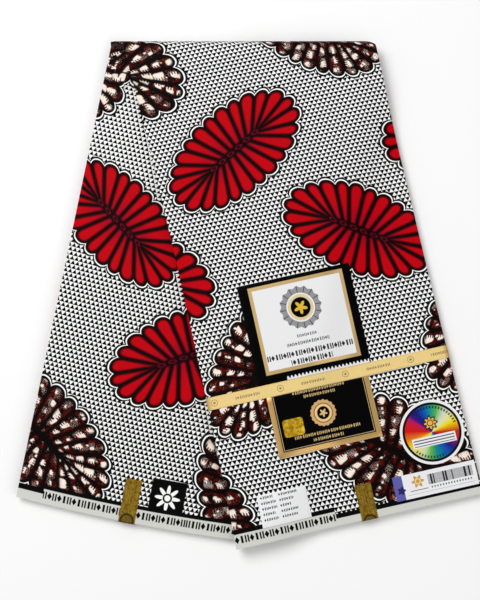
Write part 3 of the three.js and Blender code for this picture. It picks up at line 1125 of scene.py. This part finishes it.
def foil_seal(name, leg, left, right, high, past):
    """A strip of foil from the leg's top down over the hem"""
    top = LEG_HEIGHT
    steps = [(up, top + 0.3) for up in np.arange(high, -past, -PINK)]
    steps += [(-past, z) for z in np.arange(top - 0.2, 0.6, -PINK)]
    counts = (8, len(steps) - 1, 1)
    seal, numbers = cut_block(name, counts)
    up, z = np.array(steps)[numbers[:, 1]].T
    i, k = numbers[:, 0] / counts[0], numbers[:, 2]
    side = np.sign(i - 0.5) * (np.abs(i - 0.5) > 0.4)
    tooth = np.where(numbers[:, 1] % 2 == 0, SIDE_TOOTH, -SIDE_TOOTH) * side
    across = left + (right - left) * i + tooth
    turned = z < top
    top_tooth = (numbers[:, 1] == 0) * (numbers[:, 0] % 2) * TOP_TOOTH
    place = square_place(leg, across, up - turned * FOIL * k - top_tooth)
    base = front_floor(*place.T) if leg == "front" else 0.0
    height = z + base + np.where(turned, 0, FOIL * k + ripple(*place.T))
    place_points(seal, np.column_stack((place, height)))
    point_uv(seal, "leg", np.column_stack((across - left, up - (top - z) * turned)))
    soft_shade(seal, 50)
    return seal


front_seal = foil_seal("front_foil_seal", "front", 152.6, 172.2, 42.4, 1.2)
back_seal = foil_seal("back_foil_seal", "back", 124.7, 144.4, 46.5, 6.2)

# %% [markdown]
# ## Print on the cards, stickers, ribbon and foil
# The cards are black with gold lines, a rosette and rows of plain marks. Each of these prints is a pile of
# simple shapes.

# %% The finish of a print
CARD_BLACK = rgb(5, 5, 5)
QUARTER = 1.57


def finish_print(start, shader, colour, metal=None):
    """Colour, metal and a fine paper grain"""
    feed(shader, Base_Color=colour)
    place = start.node("ShaderNodeTexCoord", {}, {}, "Object")
    grain = start.node("ShaderNodeTexNoise", {}, {"Vector": place, "Scale": 900.0, "Detail": 2.0})
    feed(shader, Normal=bump(grain, 0.00005, 0.25))
    if metal is None:
        feed(shader, Roughness=0.34 + grain * 0.12)
    else:
        feed(shader, Metallic=metal * 0.75)
        feed(shader, Roughness=0.36 + grain * 0.1 - metal * 0.06)


# %% The upper card
UPPER_FRAME = {"centre": (136.5, 244.6), "half": (59.3, 53.2)}
FRAME_WIDTH = 4.4
UPPER_ROSETTE = (136.1, 262.7)
SCALLOPS = 16
UPPER_MARKS_MIDDLE = 136.0
UPPER_MARKS = (  # place up, half the row's width, height, gap and grey
    (229.7, 12.0, 3.8, 3.2, 120),
    (221.1, 26.5, 4.2, 3.4, 110),
    (210.0, 54.5, 6.6, 4.9, 48),
    (200.1, 25.8, 6.6, 4.9, 48),
)
COMB_UP, COMB_HALF, COMB_GAP = 184.4, 1.5, 4.6
card_upper, start, shader = new_material("upper_card_paper", Specular_IOR_Level=0.02)
x, y = uv_of(start, "leg")
frame_out = box_distance(x, y, **UPPER_FRAME)
frame_in = frame_out + FRAME_WIDTH
far, turn = polar(x, y, UPPER_ROSETTE)
spokes = turn.stripes(2 * math.pi / SCALLOPS, 0.44, 0.02)
colour = lay(
    CARD_BLACK,
    (frame_out, 0.2, rgb(214, 182, 124)),
    (frame_in, 0.2, rgb(236, 236, 237)),
    (rosette(far, turn, 24.8, 1.0, SCALLOPS), 0.25, (1 - spokes).paint(rgb(150, 150, 152), rgb(70, 70, 72))),
    (far - 18.1, 0.2, rgb(120, 120, 120)),
    (far - 17.5, 0.2, rgb(238, 238, 238)),
    (far - 15.9, 0.3, rgb(226, 205, 160)),
    (far - 12.2, 0.25, CARD_BLACK),
    (rosette(far, turn, 5.9, 2.5, 5, QUARTER), 0.25, rgb(224, 182, 64)),
)
for up, half, tall, gap, grey in UPPER_MARKS:
    colour = mark_row(x, y, (UPPER_MARKS_MIDDLE, up), half, tall, gap).paint(colour, rgb(grey, grey, grey))
comb = (y - COMB_UP - COMB_HALF * x.wave(COMB_GAP)).inside(0.2) * x.band(101, 204)
colour = comb.paint(colour, rgb(236, 236, 236))
finish_print(start, shader, colour, frame_out.inside(0.2) * (1 - frame_in.inside(0.2)))
put_on(card_upper, upper_card)

# %% The lower card, with a gold chip
LOWER_FRAME = {"centre": (135.0, 133.0), "half": (57.5, 34.5)}
LOWER_ROSETTE = (134.8, 134.3)
LOWER_MARKS_MIDDLE = 135.0
LOWER_MARKS = (
    (163.9, 32.5, 3.6, 3.3),
    (158.0, 19.6, 3.6, 3.3),
    (112.0, 40.5, 3.8, 3.5),
    (105.2, 18.6, 3.8, 3.5),
)
CHIP = {"centre": (95.8, 125.1), "half": (12.4, 10.4)}
CHIP_CORNER = 3.0
CHIP_LINES = 5.2
card_lower, start, shader = new_material("lower_card_paper", Specular_IOR_Level=0.02)
x, y = uv_of(start, "leg")
edge = box_distance(x, y, **LOWER_FRAME)
far, turn = polar(x, y, LOWER_ROSETTE)
scallop = rosette(far, turn, 15.6, 0.5, 18)
colour = lay(
    rgb(205, 166, 104),
    (edge, 0.2, CARD_BLACK),
    (abs(edge + 1.6) - 0.35, 0.15, rgb(190, 170, 130)),
    (scallop, 0.2, rgb(205, 166, 112)),
    (abs(far - 11.4) - 0.5, 0.2, rgb(120, 88, 48)),
    (abs(far - 9.2) - 1.0, 0.2, rgb(232, 200, 140)),
    (far - 7.6, 0.2, CARD_BLACK),
    (rosette(far, turn, 3.6, 1.5, 5, QUARTER), 0.2, rgb(214, 184, 120)),
)
for up, half, tall, gap in LOWER_MARKS:
    colour = mark_row(x, y, (LOWER_MARKS_MIDDLE, up), half, tall, gap).paint(colour, rgb(196, 168, 116))
chip = round_box(x, y, **CHIP, radius=CHIP_CORNER).inside(0.3)
shade = noise(x * 0.22, y * 0.22, 2.0)
chip_gold = ((shade - 0.35) * 3).clamp().paint(rgb(184, 134, 18), rgb(236, 200, 60))
upright_lines = (abs(abs(x - CHIP["centre"][0]) - CHIP_LINES) - 0.25).inside(0.1)
chip_lines = upright_lines.most((abs(y - CHIP["centre"][1]) - 0.25).inside(0.1))
colour = chip.paint(colour, (chip_lines * 0.6).paint(chip_gold, rgb(150, 108, 14)))
finish_print(start, shader, colour, (1 - edge.inside(0.2)).most(scallop.inside(0.2)).most(chip))
put_on(card_lower, lower_card)

# %% The bar sticker
VIOLET_TO = 209.6
BARS = {"centre": (266.9, 30.0), "half": (27.3, 6.0)}
BROAD_BARS = (
    (244.0, 1.0), (247.2, 0.7), (259.2, 1.1), (262.2, 0.9), (269.6, 0.6), (285.0, 1.3), (290.4, 1.0),
)
DOTS_UP, DOTS_GAP = 20.7, 3.4
paper_bar, start, shader = new_material("bar_sticker_paper", Specular_IOR_Level=0.2)
x, y = uv_of(start, "leg")
colour = (x < VIOLET_TO).paint(rgb(238, 238, 240), rgb(92, 92, 168))
star = rosette(*polar(x, y, (206.4, 23.4)), 4.2, 1.0, 5)
colour = star.inside(0.2).paint(colour, rgb(34, 30, 96))
bars = box_distance(x, y, **BARS).inside(0.1)
colour = (bars * ((x * 0.83).part() > 0.36)).paint(colour, rgb(132, 132, 134))
broad = 0.0
for place, half in BROAD_BARS:
    broad = (abs(x - place) - half).inside(0.1) + broad
colour = (bars * broad).paint(colour, rgb(22, 22, 24))
dots = (abs(x.repeat(DOTS_GAP)) - 0.75).most(abs(y - DOTS_UP) - 1.0)
colour = (dots.inside(0.15) * (abs(x - BARS["centre"][0]) < 26)).paint(colour, rgb(70, 70, 74))
colour = box_distance(x, y, (227.5, 20.4), (10.8, 0.45)).inside(0.15).paint(colour, rgb(96, 96, 100))
long_rule = box_distance(x, y, (254.0, 16.4), (41.0, 0.3)).inside(0.15)
colour = (long_rule * 0.6).paint(colour, rgb(130, 130, 134))
far, turn = polar(x, y, (227.6, 30.6))
colour = lay(
    colour,
    (rosette(far, turn, 6.0, 1.7, 6), 0.2, rgb(206, 156, 74)),
    (abs(far - 3.0) - 0.6, 0.2, rgb(238, 220, 180)),
)
finish_print(start, shader, colour)
put_on(paper_bar, bar_sticker)

# %% The info sticker, with two columns of uneven rows
ROWS = 5
ROW_LOW = 22.6
ROW_GAP = 6.55
TEXT_COLUMNS = ((38.5, 8.0, 19.0), (60.5, 8.0, 29.0))
paper_info, start, shader = new_material("info_sticker_paper", Specular_IOR_Level=0.2)
x, y = uv_of(start, "leg")
row = ((y - ROW_LOW) / ROW_GAP).floor()
in_row = (y - ROW_LOW).repeat(ROW_GAP)
marks = 0.0
for left, short, long in TEXT_COLUMNS:
    pick = start.node("ShaderNodeTexWhiteNoise", {"noise_dimensions": "1D"}, {"W": row + left})
    row_end = pick * (long - short) + (left + short)
    marks = mark_row(x, in_row, (left, 0.0), STRIP, 3.2, 2.8) * (x > left) * (x < row_end) + marks
marks = marks * y.band(ROW_LOW, ROW_LOW + ROWS * ROW_GAP)
finish_print(start, shader, marks.paint(rgb(240, 240, 241), rgb(62, 62, 68)))
put_on(paper_info, info_sticker)

# %% [markdown]
# The round sticker shines in all colours, as holographic foil does. Its colours run round the middle, so a
# colour ramp on the turn about the middle gives them.

# %% The round sticker
TILT = 0.218
RAINBOW = (
    (0.0, 206, 14, 22), (0.035, 204, 14, 34), (0.075, 186, 16, 80), (0.1, 52, 10, 124),
    (0.14, 8, 18, 128), (0.19, 0, 80, 172), (0.235, 0, 140, 140), (0.28, 78, 174, 66),
    (0.335, 206, 216, 192), (0.37, 228, 226, 170), (0.42, 236, 220, 8), (0.465, 228, 126, 8),
    (0.49, 186, 46, 16), (0.53, 200, 18, 40), (0.56, 108, 10, 92), (0.6, 18, 18, 128),
    (0.655, 0, 88, 178), (0.715, 0, 140, 128), (0.76, 88, 178, 66), (0.81, 206, 218, 176),
    (0.85, 228, 222, 128), (0.91, 234, 196, 16), (0.95, 230, 112, 12), (1.0, 206, 14, 22),
)
DIAL_RADIUS = 32.4
BLACK_RADIUS = 35.3
LABEL = {"centre": (258.2, 73.8), "half": (26.3, 5.8)}
ROUND_STAR = (257.8, 94.6)
paper_round, start, shader = new_material("round_sticker_foil", Coat_Roughness=0.12, Specular_IOR_Level=0.1)
x, y = uv_of(start, "leg")
far, turn = polar(x, y, (ROUND["across"], ROUND["up"]))
dial = (0.5 - (turn + TILT) * (1 / (2 * math.pi))).part()
stops = [(place, rgb(*tone)) for place, *tone in RAINBOW]
rainbow = start.node("ShaderNodeValToRGB", {"stops": stops}, {0: dial})
ticks = (abs(far - 29.7) - 1.6).inside(0.15) * ((dial * 52).part() - 0.5 < 0.1)
ticks = ticks * dial.band(0.11, 0.44).most(dial.band(0.66, 0.86))
label = box_distance(x, y, **LABEL)
colour = lay(
    rgb(240, 240, 240),
    (far - BLACK_RADIUS, 0.2, rgb(8, 8, 8)),
    (far - DIAL_RADIUS, 0.2, (ticks * 0.8).paint(rainbow, rgb(16, 16, 18))),
    (label, 0.2, rgb(240, 240, 244)),
)
rules = (y - 67.95).stripes(3.45, 0.19, 0.03) * (label + 1.4).inside(0.2)
colour = rules.paint(colour, rgb(72, 74, 82))
star_far, star_turn = polar(x, y, ROUND_STAR)
star = rosette(star_far, star_turn, 6.0, 1.5, 8)
colour = lay(
    colour,
    (star - 2.0, 0.2, rgb(12, 10, 10)),
    (star, 0.2, rgb(232, 182, 84)),
    (abs(star_far - 3.4) - 0.5, 0.2, rgb(40, 26, 12)),
)
feed(shader, Coat_Weight=(far - DIAL_RADIUS).inside(0.2) * 0.15)
finish_print(start, shader, colour)
put_on(paper_round, round_sticker)

# %% Satin ribbon, with painted shade at its ends
RIBBON_MIDDLE = (RIBBON_LOW + RIBBON_HIGH) / 2
PRINT_GAP = 81.5
FIRST_PRINT = 8.7
RIBBON_EDGE = 6.9
satin, start, shader = new_material("pale_gold_satin", Sheen_Weight=0.2, Sheen_Roughness=0.3)
x, y = uv_of(start, "leg")
threads = noise(x * 0.12, y * 3.2, 3.0)
colour = threads.paint(rgb(226, 192, 110), rgb(246, 220, 150))
aside = (x - FIRST_PRINT).repeat(PRINT_GAP, 0.5)
up = y - RIBBON_MIDDLE
far = (aside * aside + up * up).root()
mark = (abs(far - 3.7) - 0.35).inside(0.15).most((far - 1.5).inside(0.2))
row_marks = mark_row(x, y, (0.0, RIBBON_MIDDLE), 2 * STRIP, 3.4, 3.3) * (abs(aside) > 25.7)
colour = (mark.most(row_marks) * 0.75).paint(colour, rgb(108, 78, 28))
# Painted shade: the ribbon darkens towards both ends, where it turns down over the leg's sides
ends = ((abs(x - STRIP / 2) - 144.0) / 6).clamp()
colour = (ends * 0.7).paint(colour, rgb(150, 108, 28))
ribbon_edge = (abs(abs(up) - RIBBON_EDGE) - 0.25).inside(0.1)
colour = (ribbon_edge * 0.3).paint(colour, rgb(190, 150, 70))
feed(shader, Base_Color=colour)
feed(shader, Roughness=0.36 + threads * 0.16)
feed(shader, Normal=bump(threads, 0.00012, 0.35))
put_on(satin, ribbon)

# %% Olive gold foil, with painted shade and reflection along its creases
PANEL = {"centre": (9.8, 22.0), "half": (6.2, 14.5)}
FOIL_ARC = (9.8, -3.4)
foil, start, shader = new_material("olive_gold_foil", Metallic=0.85)
x, y = uv_of(start, "leg")
crease_and_shade = noise(x * 0.5, y * 0.06, 3.0)
mottle = noise(x * 0.42, y * 0.3, 3.0)
# Painted shade and reflection: the foil's colour runs from dark to bright along its creases
colour = crease_and_shade.paint(rgb(104, 78, 12), rgb(180, 144, 44))
colour = ((mottle - 0.52) * 5).most(0.0).least(0.6).paint(colour, rgb(70, 52, 10))
lines = x.stripes(3.1, 0.14, 0.04) * box_distance(x, y, **PANEL).inside(0.2)
colour = (lines * 0.45).paint(colour, rgb(92, 66, 10))
far = polar(x, y, FOIL_ARC)[0]
colour = ((far - 7.0).inside(0.3) * 0.5).paint(colour, rgb(78, 70, 34))
colour = ((abs(far - 7.6) - 1.1).inside(0.3) * 0.85).paint(colour, rgb(26, 20, 8))
feed(shader, Base_Color=colour)
feed(shader, Roughness=0.32 + crease_and_shade * 0.2)
feed(shader, Normal=bump(crease_and_shade + lines * 0.3, 0.0003, 0.4))
put_on(foil, front_seal, back_seal)
print("materials:", len(bpy.data.materials))

# %% [markdown]
# ## Floor, light and camera
# The piece lies on a plain white surface under soft light from the upper left, and the camera looks almost
# straight down on it from the hems' side.

# %% Floor
bpy.ops.object.select_all(action="DESELECT")
bpy.ops.mesh.primitive_plane_add(size=12.0)
floor_plane = bpy.context.object
floor_plane.name = "floor"
floor_paint, start, shader = new_material("pale_floor", Roughness=0.9)
shader.inputs["Base Color"].default_value = rgb(254, 254, 254)
floor_plane.data.materials.append(floor_paint)

# %% Soft light
world = bpy.data.worlds.new("soft_room")
bpy.context.scene.world = world
world.use_nodes = True
background = world.node_tree.nodes["Background"]
background.inputs["Color"].default_value = (1.0, 1.0, 1.0, 1.0)
background.inputs["Strength"].default_value = 0.35


def soft_light(name, place, size, watts):
    """A square area light that looks at the middle of the cloth"""
    bpy.ops.object.light_add(type="AREA", location=place)
    light = bpy.context.object
    light.name = name
    light.data.size = size
    light.data.energy = watts
    light.rotation_euler = (-Vector(place)).to_track_quat("-Z", "Y").to_euler()
    return light


soft_light("key", (-1.15, 1.05, 2.4), size=1.6, watts=54.0)
soft_light("fill", (1.7, -1.3, 2.2), size=2.4, watts=21.0)

# %% Camera
CAMERA_PLACE = Vector((-0.01175, -0.15611, 1.60487))
CAMERA_TARGET = Vector((-0.01175, -0.01110, 0.01145))
bpy.ops.object.camera_add(location=CAMERA_PLACE)
camera = bpy.context.object
camera.rotation_euler = (CAMERA_TARGET - CAMERA_PLACE).to_track_quat("-Z", "Y").to_euler()
camera.data.sensor_fit = "VERTICAL"
camera.data.sensor_height = 36.0
camera.data.lens = 79.68
bpy.context.scene.camera = camera
bpy.context.scene.view_settings.view_transform = "Standard"
print("camera at", tuple(round(v, 4) for v in camera.location))

# %% [markdown]
# ## Hand over
# Each piece rides on the one body and stands for the solid it replaces, which is hidden.

# %% Pieces, solids and slots
HAND_OVER = (
    (outer, "outer_layer", "print"),
    (stack, "inner_layers", "hems"),
    (back, "back_top_layer", "print"),
    (ribbon, "ribbon", "ribbon"),
    (upper_card, "upper_card", "card"),
    (lower_card, "lower_card", "card"),
    (info_sticker, "info_sticker", "sticker"),
    (bar_sticker, "bar_sticker", "sticker"),
    (round_sticker, "round_sticker", "sticker"),
    (front_seal, "front_seal", "seal"),
    (back_seal, "back_seal", "seal"),
)
for piece, node, slot in HAND_OVER:
    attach(piece, "root")
    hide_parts(node)
print("triangles in all:", sum(triangle_count(piece) for piece, node, slot in HAND_OVER))
